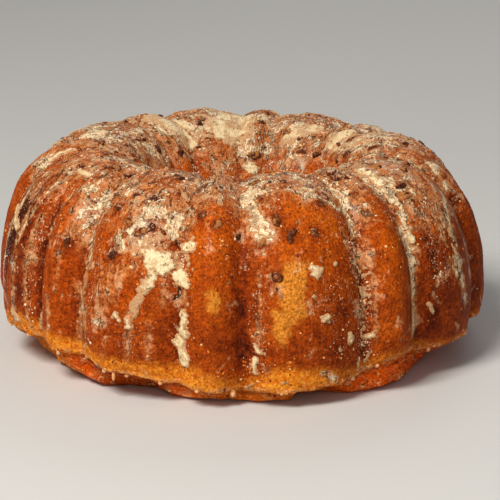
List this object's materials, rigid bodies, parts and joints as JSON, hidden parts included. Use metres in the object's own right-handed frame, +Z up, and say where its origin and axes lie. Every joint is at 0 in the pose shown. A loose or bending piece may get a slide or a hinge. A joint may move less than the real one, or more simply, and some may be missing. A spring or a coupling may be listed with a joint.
{
  "type": "rum cake",
  "caption": "Ring-shaped cake turned out of a fluted tin, with wide and slim flutes, a hole through its middle, chopped pecans in its top and set beads of glaze at its lower edge.",
  "frame": {"origin": "centre of the foot, on the surface that the cake stands on", "axes": "+Z up along the axis of the ring, -Y towards the side that faces the viewer, +X to the viewer's right"},
  "size_m": [0.2392, 0.2383, 0.0997],
  "materials": {
    "browned_crust": "browned sponge crust with a thin sugar glaze"
  },
  "bodies": {
    "root": {"cake": "browned_crust"}
  },
  "joints": []
}
